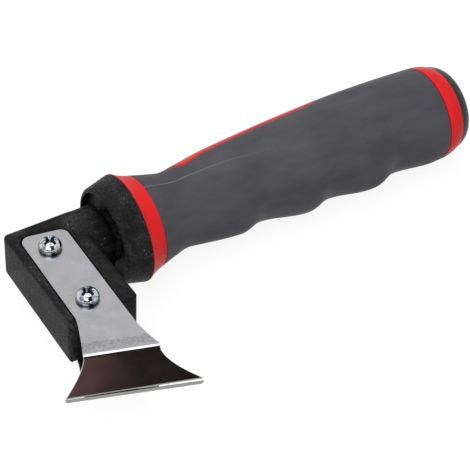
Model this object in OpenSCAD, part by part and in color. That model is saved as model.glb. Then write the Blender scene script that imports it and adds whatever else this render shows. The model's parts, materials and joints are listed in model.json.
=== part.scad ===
// Painter's scraper with a soft-grip handle and two bent fishtail blades.
// Millimetres. X runs along the handle from head to butt, the blades reach
// towards -Y and +Z faces out of the front blade. The origin is the point
// where the handle axis meets the flat end face of the head block.

/* [Head block] */
// Length of the block along the handle axis
head_len = 24.2; // [23.7:0.1:30]
// Distance from the handle axis to the block's back end
head_back = 9.1; // [8.9:0.1:12]
// Distance from the handle axis to the block's blade end
head_reach = 37.3; // [34:0.1:42]
// Half of the block's thickness at its back end
head_half_back = 8.4; // [8:0.1:9]
// Half of the block's thickness at its blade end
head_half_front = 9.7; // [9.2:0.05:10]
// Rounding of the block's edges
head_edge_r = 1.6; // [0.6:0.1:2]
// Rounding of the block's edges round its blade end
head_end_r = 2.6; // [1:0.1:3]
// Rounding of the two upright edges at the block's back end
head_corner_r = 1.8; // [0.3:0.1:2.4]
// Width of the neck between block and collar, along the blades
neck_w = 17.4; // [16:0.1:17.8]
// Height of the neck, from one blade side to the other
neck_h = 19.2; // [18.6:0.1:22]
// Rounding of the neck's two edges at the back
neck_edge_r = 3.2; // [2:0.1:5]
// Rounding of the neck's two edges on the side of the blade edges
neck_front_r = 6.6; // [5:0.1:8]
// Free length of the neck
neck_len = 7.4; // [5:0.2:12]
// Flare of the neck where it leaves the block
neck_fillet = 2.2; // [1:0.1:3]
// Radius of the spigot inside the handle
spigot_r = 7; // [6.5:0.1:7.4]
// Length of the spigot behind the neck
spigot_len = 30; // [20:1:40]
// Height of the spigot's two keys
key_height = 1.2; // [0.8:0.1:1.5]
// Width of the spigot's keys
key_width = 3; // [2:0.1:4]

/* [Collar] */
// Length of the collar
collar_len = 8.5; // [7:0.1:14]
// Radius of the collar's front rim
collar_front_r = 16.85; // [15:0.05:17.6]
// Rounding of the collar's front rim
collar_rim_r = 1.4; // [0.5:0.1:1.4]
// Wall left round the recess in front and the hollow in the back of the collar
collar_wall = 1.6; // [1.5:0.1:2.2]
// Depth of the recess round the neck
collar_recess = 2.5; // [1:0.1:3]
// Web between the recess and the hollow in the back
collar_web = 2.4; // [1.5:0.1:2.5]
// Wall of the collar's hub on the spigot
collar_hub = 1.6; // [1.2:0.1:2.4]

/* [Handle] */
// Radius of the handle core's front ring, shared with the collar's back
ring_r = 18.65; // [17.5:0.05:20]
// Length of the front ring
ring_len = 6.2; // [5:0.1:12]
// Radius where the front ring meets the soft grip
grip_front_r = 16.1; // [15:0.1:17]
// Length of the soft grip
grip_len = 113.3; // [105:0.1:130]
// Smallest radius, at the waist behind the front ring
grip_waist_r = 13.3; // [13:0.05:15]
// Largest radius, at the palm swell
grip_swell_r = 17.8; // [17:0.1:20]
// Radius where the soft grip meets the butt ring
grip_butt_r = 16.85; // [16:0.05:18]
// Length of the butt ring
butt_ring_len = 6; // [3:0.1:9]
// Radius at the back of the butt ring
butt_r = 15.4; // [15:0.1:16.8]
// Radius of the hard core under the soft grip at the waist
core_waist_r = 10.4; // [10:0.1:10.9]
// Radius of the hard core under the palm swell
core_swell_r = 12.2; // [11.5:0.1:12.6]
// Depth of the finger grooves
groove_depth = 3; // [1:0.1:3.4]
// Pitch of the finger grooves
groove_pitch = 26.6; // [25:0.1:28]
// Half of the thumb panel's width at its front end, on the back of the handle
panel_front_r = 12.9; // [8:0.1:13.6]
// Rounding of the thumb panel's two front corners
panel_corner_r = 4.5; // [3:0.1:8]
// Radius of the thumb panel's rear end
panel_rear_r = 14.5; // [10:0.1:15.4]
// Length of the thumb panel
panel_len = 67; // [40:0.5:74]

/* [End cap] */
// Height of the cap's dome
cap_dome = 5.7; // [3:0.1:8]
// Rounding where the dome meets the butt ring
cap_edge_r = 4.2; // [2:0.1:5]
// Radius of the cap's plug
plug_r = 9; // [8.5:0.1:10]
// Length of the cap's plug
plug_len = 5; // [4:0.1:6]
// Wall of the cap's plug
plug_wall = 1.8; // [1:0.1:2.5]

/* [Blades] */
// Width of the blade's straight strip
strip_w = 15.4; // [14:0.1:17]
// Distance from the block's end face to the strip's middle
strip_mid = 10.05; // [10:0.05:11.5]
// Lean of the strip towards the handle, from the block's blade end to its far end
strip_lean = 1.6; // [0:0.1:2.5]
// Thickness of the blade
blade_t = 1; // [0.8:0.05:1.1]
// Depth of the blade's seat in the block
seat_depth = 1.2; // [1.1:0.05:1.6]
// Gap between the blade and the side of its seat
seat_gap = 0.6; // [0.3:0.05:1]
// Distance from the handle axis to the strip's far end, on its middle line
strip_top = 3.4; // [2.6:0.1:4.4]
// Slant of the strip's far end
top_slant = 11; // [0:0.5:14]
// Corner radius of the strip's far end
strip_corner_r = 3; // [1:0.1:4]
// Distance from the block's blade end to the middle of the bend line
bend_reach = 17.1; // [16:0.1:22]
// Rake of the bend line against the handle axis
bend_rake = 18.2; // [10:0.2:19]
// Length of the bend line
bend_len = 23.4; // [23:0.1:26]
// Gap left between the two cutting edges, which sets the angle of the bend
edge_gap = 0.8; // [0.4:0.1:4]
// Inner radius of the bend
bend_r = 1.2; // [0.6:0.1:1.6]
// Length of the bent part
tail_len = 11.1; // [9:0.1:11.6]
// Length of the cutting edge
edge_len = 42.6; // [36:0.1:50]
// Width of the ground bevel
bevel_w = 1.1; // [0.6:0.05:1.5]

/* [Blade screws] */
// Distance from the handle axis to the upper screw
screw_top = 4.1; // [3.4:0.1:5]
// Distance from the block's blade end to the lower screw
screw_inset = 6.9; // [5:0.1:9]
// Radius of the screw's shank
screw_r = 2; // [1.5:0.05:2]
// Length of the shank
screw_len = 6; // [5:0.1:6.2]
// Radius of the pan head
screw_head_r = 3.85; // [3.5:0.05:4.2]
// Height of the pan head
screw_head_h = 3.6; // [2.6:0.05:3.6]
// Pitch of the thread
thread_pitch = 0.7; // [0.5:0.05:1]
// Length of the threaded inserts
insert_len = 6; // [5:0.1:6.2]
// Outer radius of the threaded inserts
insert_r = 2.8; // [2.6:0.05:3]

/* [Through bolt] */
// Radius of the bolt's shank
bolt_r = 3; // [2.5:0.1:3]
// Width across flats of the bolt's head and nut
bolt_af = 10; // [8:0.1:10]
// Thickness of the bolt's head
bolt_head_h = 4; // [3:0.1:4]
// Thickness of the nut
nut_h = 5; // [4:0.1:5.5]
// Thickness of each washer
washer_t = 1.6; // [1:0.1:1.8]
// Radius of the flat washer
washer_r = 6.2; // [6:0.1:7]

/* [Hidden] */
$fn = 64;
black_nylon = [0.13, 0.13, 0.14];
core_red = [0.85, 0.16, 0.16];
grip_grey = [0.3, 0.3, 0.32];
polished_steel = [0.75, 0.75, 0.77];
zinc = [0.7, 0.74, 0.78];
brass_tone = [0.78, 0.62, 0.3];

// Clearances
fit = 0.02;          // parts pressed or moulded together
thread_fit = 0.05;   // screw in its insert
blade_hole_fit = 0.25;
bolt_fit = 0.1;
over = 1;            // how far a cutting shape runs past what it cuts
seam = 0.4;          // depth of the groove that shows between collar and ring
join = 0.04;         // overlap of shapes that are one solid
cap_start = 20;      // the cap goes on with the slope at which the butt ring ends
neck_rise = 6;       // how far inside the block the neck starts to rise out of its faces
neck_ramp = 7.5;     // length of that rise
insert_wall = 2.1;   // between the inserts and the head of the bolt
bolt_end = 1.5;      // what the bolt shows behind its nut
pocket_gap = 1.8;    // from the bolt's end to the plug of the cap
key_start = 2;       // from the front ring's face to the keys of the spigot
lock_step = 1.2;     // the lock washer is this much smaller than the flat one
lock_gap = 1;        // slit of the lock washer
ring_hollow = 1.25;  // how hollow the front ring's flank is: 1 is straight
cap_crown = 1;       // height of the flat crown of the cap
bend_shift = 1.8;    // the bend's middle lies this far in front of the strip's
strip_flare = 1.15;  // how sharply the strip widens in front: 1 is straight
tail_flare = [1.4, 1.55];   // how hollow the sides of the fishtail are

// Cross recess and dome of the screws
dome_bulge = 0.8;    // 1 is a plain ellipse, less is fuller
dome_wall = 0.25;    // share of the head's height that stands upright
recess_w = 1.1;
recess_depth = 1.6;
recess_span = 0.64;  // share of the head's width
recess_turn = 20;

// Places of the screws
screw_ys = [-screw_top, screw_inset - head_reach];
screw_shift = 0.5;   // the screws sit this far in front of the strip's middle line

// Stations along the handle axis
collar_x = head_len + neck_len;
ring_x = collar_x + collar_len;
grip_x = ring_x + ring_len;
butt_x = grip_x + grip_len;
cap_x = butt_x + butt_ring_len;
spigot_x = collar_x + spigot_len;
bolt_head_x = screw_x(screw_ys[0]) + insert_r + insert_wall;
plug_x = cap_x - plug_len;
pocket_x = plug_x - pocket_gap - bolt_end - nut_h - 2 * washer_t;
nut_x = pocket_x + 2 * washer_t;

// Taper of the block, and the frame of each blade seat
taper = atan((head_half_front - head_half_back) / (head_back + head_reach));
half_at_axis = head_half_back + head_back * tan(taper);
seat_floor = -seat_depth;
blade_top = blade_t - seat_depth;
bend_mid = [strip_mid - bend_shift, -head_reach - bend_reach];
edge_shift = 2.5;    // the fishtail leans towards the handle
edge_t = 0.15 * blade_t;   // what the bevel leaves of the edge
pivot_z = blade_top - blade_t - bend_r;

// Angle of the bend: the cutting edge ends half a gap from the middle plane.
// Its height there is a * cos(angle) - b * sin(angle) above the level c.
bend_a = cos(taper) * (bend_r + edge_t) + sin(taper) * cos(bend_rake) * tail_len;
bend_b = cos(taper) * tail_len - sin(taper) * cos(bend_rake) * (bend_r + edge_t);
bend_c = edge_gap / 2 - half_at_axis - cos(taper) * pivot_z + sin(taper) * bend_mid[1];
bend_angle = acos(bend_c / norm([bend_a, bend_b])) - atan2(bend_b, bend_a);
flare_steps = 8;
left_flare_y = -head_reach + 0.8;
right_flare_y = -head_reach - 7.9;

// Grip radius stations: distance behind the front ring as a share of the grip, and radius
grip_stations = [
    [0, grip_front_r],
    [0.05, (grip_front_r + 1.3 * grip_waist_r) / 2.3],
    [0.1, grip_waist_r],
    [0.155, grip_waist_r + 0.16 * (grip_swell_r - grip_waist_r)],
    [0.24, grip_waist_r + 0.45 * (grip_swell_r - grip_waist_r)],
    [0.35, grip_waist_r + 0.66 * (grip_swell_r - grip_waist_r)],
    [0.49, grip_waist_r + 0.85 * (grip_swell_r - grip_waist_r)],
    [0.67, grip_swell_r],
    [0.86, (3 * grip_swell_r + grip_butt_r) / 4],
    [1, grip_butt_r]];
grip_rings = 57;
grip_sides = 40;
groove_first = 31;         // first crest, behind the front ring
groove_valley = 0.37;      // place of the valley between two crests
groove_wrap = 0.35;        // how far the grooves reach round the sides
panel_x = grip_x + 15.5;   // front end of the thumb panel

// Points of an arc
function arc(c, r, a0, a1, n = 6) =
    [for (i = [0:n]) c + r * [cos(a0 + (a1 - a0) * i / n), sin(a0 + (a1 - a0) * i / n)]];

// Smooth curve through stations (Catmull-Rom, uneven spacing)
function slope(s, i) =
    let (a = max(i - 1, 0), b = min(i + 1, len(s) - 1)) (s[b][1] - s[a][1]) / (s[b][0] - s[a][0]);
function seat_index(s, x, i = 0) = i >= len(s) - 2 || x < s[i + 1][0] ? i : seat_index(s, x, i + 1);
function curve(s, x) =
    let (i = seat_index(s, x), d = s[i + 1][0] - s[i][0], t = (x - s[i][0]) / d)
    s[i][1] * (2 * t ^ 3 - 3 * t ^ 2 + 1) + slope(s, i) * d * (t ^ 3 - 2 * t ^ 2 + t)
    + s[i + 1][1] * (3 * t ^ 2 - 2 * t ^ 3) + slope(s, i + 1) * d * (t ^ 3 - t ^ 2);

// Grip radius without grooves, and depth of the grooves, both behind the front ring
function grip_radius(x) = curve(grip_stations, x / grip_len);
function groove_share(x) =
    let (u = (x - groove_first) / groove_pitch, f = u - floor(u))
    u < 0 || u >= 3 ? 0
    : f < groove_valley ? (1 - cos(180 * f / groove_valley)) / 2
    : (1 + cos(180 * (f - groove_valley) / (1 - groove_valley))) / 2;
function groove_reach(a) = pow(max(0, (cos(a) + groove_wrap) / (1 + groove_wrap)), 1.3);
// The angle a starts at -Y, the side of the fingers
function grip_point(x, a) =
    let (r = grip_radius(x) - groove_depth * groove_share(x) * groove_reach(a))
    [grip_x + x, -r * cos(a), r * sin(a)];

// The strip leans: how far its middle line moves to +X at y, and the screws with it
function lean(y) = max(0, y + head_reach) * tan(strip_lean);
function screw_x(y) = strip_mid + lean(y) - screw_shift;

// Solid turned about the handle axis from points [x, radius]
module turned(points) {
    rotate([0, 90, 0]) mirror([1, 0, 0]) rotate_extrude() polygon([for (p = points) [p[1], p[0]]]);
}

// Straight round bar along the handle axis
module bar(x0, x1, r) {
    translate([x0, 0, 0]) rotate([0, 90, 0]) cylinder(h = x1 - x0, r = r);
}

// Six-sided bar along the handle axis
module hex_bar(x0, x1, af) {
    translate([x0, 0, 0]) rotate([0, 90, 0]) cylinder(h = x1 - x0, d = af / cos(30), $fn = 6);
}

// Block seen along Z: the corners at its back end are sharper
module block_plan() {
    depth = head_back + head_reach;
    translate([0, -head_reach]) rounded_rect(head_len, depth - head_end_r, head_end_r);
    translate([0, -head_reach / 2]) rounded_rect(head_len, depth - head_reach / 2, head_corner_r);
}

// Rectangle with true round corners
module rounded_rect(w, h, r) {
    translate([r, 0]) square([w - 2 * r, h]);
    translate([0, r]) square([w, h - 2 * r]);
    for (x = [r, w - r], y = [r, h - r]) translate([x, y]) circle(r);
}

// The two blade sides: 1 is the front, -1 the rear
module side(s) {
    mirror([0, 0, s < 0 ? 1 : 0]) translate([0, 0, half_at_axis]) rotate([-taper, 0, 0]) children();
}

// Outline of the block seen along X, tapered, with rounded corners
function block_outline() =
    let (r = head_edge_r, e = head_end_r, yb = head_back, yf = -head_reach)
    concat(
        arc([yb - r, head_half_back - r], r, 0, 90 - taper),
        arc([yf + e, head_half_front - e], e, 90 - taper, 180),
        arc([yf + e, e - head_half_front], e, 180, 270 + taper),
        arc([yb - r, r - head_half_back], r, 270 + taper, 360));

module block_solid() {
    depth = head_back + head_reach;
    tall = 2 * head_half_front;
    intersection() {
        rotate([90, 0, 90]) linear_extrude(head_len) polygon(block_outline());
        translate([0, 0, -tall]) linear_extrude(2 * tall) block_plan();
        side(1) long_edges(depth, tall);
        side(-1) long_edges(depth, tall);
    }
}

// Keeps one face of the block, with its two long edges rounded
module long_edges(depth, tall) {
    translate([0, head_back + over, -1.6 * tall])
        rotate([90, 0, 0]) linear_extrude(depth + 2 * over) rounded_rect(head_len, 1.6 * tall, head_edge_r);
}

// Outline of a blade's strip, g outside its edge, running on past the block's end
function seat_outline(g, y_end) =
    let (hw = strip_w / 2 + g, r = strip_corner_r + g, k = tan(top_slant), mid = strip_mid + lean(strip_top),
         yl = strip_top + k * hw + g / cos(top_slant), yr = strip_top - k * hw + g / cos(top_slant))
    concat(
        [[strip_mid - hw, y_end], [strip_mid + hw, y_end], [strip_mid + hw, -head_reach]],
        arc([mid + hw - r, yr + k * r - r / cos(top_slant)], r, -strip_lean, 90 - top_slant),
        arc([mid - hw + r, yl - k * r - r / cos(top_slant)], r, 90 - top_slant, 180 - strip_lean),
        [[strip_mid - hw, -head_reach]]);

module head_block() {
    color(black_nylon) difference() {
        union() {
            block_solid();
            neck();
            bar(collar_x - over, spigot_x, spigot_r);
            spigot_keys(0);
        }
        for (s = [1, -1]) side(s) {
            translate([0, 0, seat_floor]) linear_extrude(seat_depth + over)
                polygon(seat_outline(seat_gap, -head_reach - 2 * over));
            for (y = screw_ys) translate([screw_x(y), y, seat_floor - insert_len - fit])
                cylinder(h = insert_len + fit + over, r = insert_r + fit);
        }
        hex_bar(bolt_head_x - fit, bolt_head_x + bolt_head_h, bolt_af + 2 * fit);
        bar(bolt_head_x + bolt_head_h / 2, spigot_x + over, bolt_r + fit);
    }
}

// Square neck with round edges: it rises out of the block's two faces, and a
// round flare carries it out of the block's end face
module neck() {
    root = head_len - neck_rise;
    half = neck_h / 2;
    low = half_at_axis - neck_edge_r / 2;
    rise = [for (i = [0:8]) [root + neck_ramp * i / 8, low + (half - low) * (1 - cos(22.5 * i)) / 2]];
    intersection() {
        translate([root, -neck_w / 2, -half]) rotate([90, 0, 90])
            linear_extrude(collar_x - root) intersection() {
                rounded_rect(neck_w, neck_h, neck_edge_r);
                rounded_rect(2 * neck_w, neck_h, neck_front_r);
            }
        rotate([90, 0, 0]) linear_extrude(2 * neck_w, center = true) polygon(concat(
            [for (p = rise) [p[0], -p[1]]],
            [[collar_x + over, -half], [collar_x + over, half]],
            [for (i = [8:-1:0]) rise[i]]));
    }
    intersection() {
        turned([[head_len - over, 0], [head_len - over, neck_w / 2 + neck_fillet],
                for (a = [0:15:90]) [head_len + neck_fillet * (1 - cos(a)),
                                     neck_w / 2 + neck_fillet * (1 - sin(a))],
                [head_len + neck_fillet, 0]]);
        translate([head_len - 2 * over, -neck_w, -half_at_axis + head_edge_r])
            cube([neck_fillet + 2 * over, neck_w + head_back - head_edge_r,
                  2 * (half_at_axis - head_edge_r)]);
    }
}

// Keys that stop the head turning in the handle
module spigot_keys(g) {
    for (s = [1, -1])
        translate([ring_x + key_start - g, s > 0 ? 0 : -spigot_r - key_height - g, -key_width / 2 - g])
        cube([spigot_x - ring_x - key_start + g, spigot_r + key_height + g, key_width + 2 * g]);
}

// Cone with a hub on the spigot, recessed in front and hollow in the back
module collar() {
    bore = spigot_r + fit;
    color(black_nylon) difference() {
        turned(concat(
            [[collar_x, bore]],
            [for (a = [0:15:90]) [collar_x + collar_rim_r * (1 - cos(a)),
                                  collar_front_r - collar_rim_r * (1 - sin(a))]],
            [[ring_x, ring_r], [ring_x, bore]]));
        difference() {
            union() {
                bar(collar_x - over, collar_x + collar_recess, collar_front_r - collar_wall);
                bar(collar_x + collar_recess + collar_web, ring_x + over, collar_front_r - collar_wall);
            }
            bar(collar_x - 2 * over, ring_x + 2 * over, bore + collar_hub);
        }
    }
}

// Hard core: rings at both ends, a spindle under the soft grip, and the thumb panel
module handle_core() {
    color(core_red) difference() {
        union() {
            turned([[ring_x, 0], [ring_x, ring_r - seam], [ring_x + seam, ring_r],
                    for (u = [0.2:0.2:1]) [ring_x + ring_len * u,
                                           grip_front_r + (ring_r - grip_front_r) * pow(1 - u, ring_hollow)],
                    [grip_x, 0]]);
            core_spindle();
            turned([[butt_x, 0],
                    for (u = [0:0.25:1]) [butt_x + butt_ring_len * u,
                                           grip_butt_r - (grip_butt_r - butt_r) * u * u],
                    [cap_x, 0]]);
            intersection() {
                panel_prism();
                turned(concat([[grip_x, 0]],
                              [for (i = [0:grip_rings]) let (x = grip_len * i / grip_rings)
                                  [grip_x + x, grip_radius(x)]],
                              [[butt_x, 0]]));
            }
        }
        bar(ring_x - over, spigot_x + over / 2, spigot_r + fit);
        spigot_keys(fit);
        bar(spigot_x - over, pocket_x + over, bolt_r + bolt_fit);
        bar(pocket_x, cap_x + over, plug_r + fit);
    }
}

// Round spindle that the soft grip is moulded on
module core_spindle() {
    turned([[grip_x - over, 0], [grip_x - over, core_waist_r], [grip_x + 0.15 * grip_len, core_waist_r],
            [grip_x + 0.5 * grip_len, core_swell_r], [butt_x + over, core_swell_r], [butt_x + over, 0]]);
}

// Window for the thumb panel: a blunt front end, a round rear end, straight sides
module panel_prism() {
    front = panel_x + panel_corner_r;
    rear = panel_x + panel_len - panel_rear_r;
    inset = panel_front_r - panel_corner_r;
    lean = asin((panel_rear_r - panel_front_r) / (rear - front));
    rotate([-90, 0, 0]) linear_extrude(2 * ring_r) polygon(concat(
        arc([rear, 0], panel_rear_r, -90 - lean, 90 + lean, 16),
        arc([front, inset], panel_corner_r, 90 + lean, 180),
        arc([front, -inset], panel_corner_r, 180, 270 - lean)));
}

module grip_sleeve() {
    n = grip_sides;
    m = grip_rings;
    points = concat(
        [for (i = [0:m], j = [0:n - 1]) grip_point(grip_len * i / m, 360 * j / n)],
        [[grip_x, 0, 0], [butt_x, 0, 0]]);
    faces = concat(
        [for (i = [0:m - 1], j = [0:n - 1])
            let (a = i * n + j, b = i * n + (j + 1) % n) [a, b, b + n]],
        [for (i = [0:m - 1], j = [0:n - 1])
            let (a = i * n + j, b = i * n + (j + 1) % n) [a, b + n, a + n]],
        [for (j = [0:n - 1]) [len(points) - 2, (j + 1) % n, j]],
        [for (j = [0:n - 1]) [len(points) - 1, m * n + j, m * n + (j + 1) % n]]);
    color(grip_grey) difference() {
        polyhedron(points, faces);
        core_spindle();
        panel_prism();
    }
}

module end_cap() {
    r = butt_r;
    top = cap_x + cap_dome;
    color(black_nylon) difference() {
        turned(concat(
            [[plug_x, 0], [plug_x, plug_r], [cap_x, plug_r], [cap_x, r]],
            [for (a = [cap_start:10:90])
                [cap_x + (cap_dome - cap_crown) * (sin(a) - sin(cap_start)) / (1 - sin(cap_start)),
                 r - cap_edge_r * (cos(cap_start) - cos(a))]],
            [for (u = [0.75, 0.5, 0.25]) [top - cap_crown * u * u, (r - cap_edge_r * cos(cap_start)) * u]],
            [[top, 0]]));
        bar(plug_x - over, cap_x + 1, plug_r - plug_wall);
    }
}

module tang_bolt() {
    color(zinc) {
        hex_bar(bolt_head_x, bolt_head_x + bolt_head_h, bolt_af);
        bar(bolt_head_x + bolt_head_h, nut_x + nut_h + bolt_end, bolt_r);
    }
}

module tang_washer() {
    color(zinc) washer(pocket_x, washer_r);
}

module tang_lock_washer() {
    color(zinc) difference() {
        washer(pocket_x + washer_t, washer_r - lock_step);
        translate([pocket_x, 0, -lock_gap / 2]) cube([3 * washer_t, washer_r, lock_gap]);
    }
}

module washer(x, r) {
    difference() {
        bar(x, x + washer_t, r);
        bar(x - over, x + washer_t + over, bolt_r + bolt_fit);
    }
}

module tang_nut() {
    color(zinc) difference() {
        hex_bar(nut_x, nut_x + nut_h, bolt_af);
        bar(nut_x - over, nut_x + nut_h + over, bolt_r + fit);
    }
}

module insert(s, k) {
    y = screw_ys[k];
    color(brass_tone) side(s) translate([screw_x(y), y, seat_floor - insert_len]) difference() {
        cylinder(h = insert_len, r = insert_r);
        translate([0, 0, -over]) cylinder(h = insert_len + 2 * over, r = screw_r + thread_fit);
    }
}

// Flat part of the blade, in the seat frame, as far as the bend line, where it
// and the tail are a touch narrower than the bend
function strip_outline() =
    let (c = cos(bend_rake), s = sin(bend_rake), half = bend_len / 2 - join,
         left_end = bend_mid + half * [-c, s], right_end = bend_mid + half * [c, -s],
         xl = strip_mid - strip_w / 2, xr = strip_mid + strip_w / 2, top = seat_outline(0, 0))
    concat(
        [for (i = [0:flare_steps]) let (u = 1 - i / flare_steps)
            [xl + (left_end[0] - xl) * pow(u, strip_flare),
             left_flare_y + (left_end[1] - left_flare_y) * u]],
        [for (i = [len(top) - 2:-1:3]) top[i]],
        [for (i = [0:flare_steps]) let (u = i / flare_steps)
            [xr + (right_end[0] - xr) * u * u, right_flare_y + (right_end[1] - right_flare_y) * u]]);

// Bent part, flat, in the frame of the bend line: X along it, -Y outwards
function tail_outline() =
    let (h = bend_len / 2 - join, left = -edge_len / 2 + edge_shift, right = edge_len / 2 + edge_shift)
    concat(
        [[-h, join]],
        [for (i = [0:flare_steps]) let (u = i / flare_steps)
            [-h + (left + h) * pow(u, tail_flare[0]), -tail_len * u]],
        [for (i = [flare_steps:-1:0]) let (u = i / flare_steps)
            [h + (right - h) * pow(u, tail_flare[1]), -tail_len * u]],
        [[h, join]]);

module blade(s) {
    color(polished_steel) side(s) {
        difference() {
            translate([0, 0, blade_top - blade_t]) linear_extrude(blade_t) polygon(strip_outline());
            for (y = screw_ys) translate([screw_x(y), y, blade_top - blade_t - over])
                cylinder(h = blade_t + 2 * over, r = screw_r + blade_hole_fit);
        }
        translate([bend_mid[0], bend_mid[1], pivot_z]) rotate([0, 0, -bend_rake]) {
            translate([bend_len / 2, join, 0]) rotate([0, -90, 0]) rotate([0, 0, -bend_angle])
                rotate_extrude(angle = bend_angle) translate([bend_r, 0]) square([blade_t, bend_len]);
            rotate([bend_angle, 0, 0]) difference() {
                translate([0, 0, bend_r]) linear_extrude(blade_t) polygon(tail_outline());
                translate([-edge_len, -tail_len + bevel_w, bend_r + blade_t])
                    rotate([atan((blade_t - edge_t) / bevel_w), 0, 0])
                    translate([0, -3 * bevel_w, 0]) cube([2 * edge_len + over, 3 * bevel_w, 3 * blade_t]);
            }
        }
    }
}

// Pan-head machine screw with a cross recess; its thread is a stack of ridges
module screw(s, k) {
    y = screw_ys[k];
    wall = dome_wall * screw_head_h;
    threads = floor((screw_len - 0.6) / thread_pitch);
    root = screw_r - 0.4;
    color(zinc) side(s) translate([screw_x(y), y, blade_top]) difference() {
        rotate_extrude() polygon(concat(
            [[0, -screw_len], [root - 0.3, -screw_len]],
            [for (i = [0:threads - 1], p = [0, 1])
                [p == 0 ? root : screw_r, -screw_len + 0.3 + thread_pitch * (i + p / 2)]],
            [[root, -screw_len + 0.3 + thread_pitch * threads], [screw_r, 0], [screw_head_r - 0.15, 0]],
            [for (a = [0:10:90])
                [screw_head_r * pow(cos(a), dome_bulge), wall + (screw_head_h - wall) * sin(a)]]));
        for (a = [0, 90]) rotate([0, 0, a + recess_turn])
            translate([-recess_span * screw_head_r, -recess_w / 2, screw_head_h - recess_depth])
            cube([2 * recess_span * screw_head_r, recess_w, recess_depth + over]);
    }
}

module front_upper_insert() { insert(1, 0); }
module front_lower_insert() { insert(1, 1); }
module rear_upper_insert() { insert(-1, 0); }
module rear_lower_insert() { insert(-1, 1); }
module front_blade() { blade(1); }
module rear_blade() { blade(-1); }
module front_upper_screw() { screw(1, 0); }
module front_lower_screw() { screw(1, 1); }
module rear_upper_screw() { screw(-1, 0); }
module rear_lower_screw() { screw(-1, 1); }

head_block();
collar();
handle_core();
grip_sleeve();
end_cap();
tang_bolt();
tang_washer();
tang_lock_washer();
tang_nut();
front_upper_insert();
front_lower_insert();
rear_upper_insert();
rear_lower_insert();
front_blade();
rear_blade();
front_upper_screw();
front_lower_screw();
rear_upper_screw();
rear_lower_screw();
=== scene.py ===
"""Looks of a painter's scraper: soft-grip handle, black head and two bent fishtail blades.

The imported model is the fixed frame. This script dresses it: the collar, the core, the cap and the
hidden pieces keep their shape and get their finishes, the head gets softly rounded edges, and
the soft grip, the two blades and the four blade screws are modelled here in finer detail. All
lengths are in metres.
"""

from __future__ import annotations

import json
import logging
import math
from dataclasses import dataclass, field
from enum import Enum
from typing import Callable, Sequence

import bmesh
import bpy
from mathutils import Matrix, Vector

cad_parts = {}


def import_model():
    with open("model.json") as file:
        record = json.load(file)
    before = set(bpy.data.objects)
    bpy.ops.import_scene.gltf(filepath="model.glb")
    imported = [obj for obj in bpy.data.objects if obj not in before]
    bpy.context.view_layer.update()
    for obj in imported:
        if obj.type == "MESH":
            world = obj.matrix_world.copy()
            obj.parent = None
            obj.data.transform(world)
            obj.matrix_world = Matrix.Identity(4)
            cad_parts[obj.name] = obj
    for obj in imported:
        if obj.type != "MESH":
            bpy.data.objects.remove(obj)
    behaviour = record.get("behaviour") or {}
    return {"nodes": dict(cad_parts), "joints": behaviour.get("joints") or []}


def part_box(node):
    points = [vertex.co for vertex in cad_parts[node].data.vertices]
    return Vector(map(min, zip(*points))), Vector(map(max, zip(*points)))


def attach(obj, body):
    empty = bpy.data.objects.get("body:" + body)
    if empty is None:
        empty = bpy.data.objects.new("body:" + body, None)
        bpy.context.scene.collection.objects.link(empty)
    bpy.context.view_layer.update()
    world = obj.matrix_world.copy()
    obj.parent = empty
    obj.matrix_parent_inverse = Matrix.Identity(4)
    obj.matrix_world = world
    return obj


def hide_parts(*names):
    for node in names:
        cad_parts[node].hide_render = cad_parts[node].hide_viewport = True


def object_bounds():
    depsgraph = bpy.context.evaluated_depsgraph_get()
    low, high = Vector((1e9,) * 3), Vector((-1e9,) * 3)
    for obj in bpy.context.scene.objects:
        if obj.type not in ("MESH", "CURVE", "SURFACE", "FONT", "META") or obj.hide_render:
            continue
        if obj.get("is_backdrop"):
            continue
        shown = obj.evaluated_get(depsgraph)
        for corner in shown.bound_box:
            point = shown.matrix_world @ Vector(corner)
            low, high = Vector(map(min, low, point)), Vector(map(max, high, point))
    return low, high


MM = 0.001
RAKE = 18.2  # lean of the bend line and of the blade's edge, in degrees
WELD = 1e-7  # points closer than this are one point, in metres
NEAR = 1e-6  # the same for a sheet that has just been filled
log = logging.getLogger("scraper")

Point2 = tuple[float, float]
Range = tuple[float, float]  # where a look or a form begins, and where it is full or ends
Colour = tuple[float, float, float]

BULK: Range = (0.3, 0.7)  # nearly all values of a noise pattern lie in it


class Side(Enum):
    """The two faces of the head that carry a blade."""

    FRONT = "front"
    REAR = "rear"


class Spot(Enum):
    """The two screw places of a blade."""

    UPPER = "upper"
    LOWER = "lower"


# --------------------------------------------------------------------------- node drawing


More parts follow.
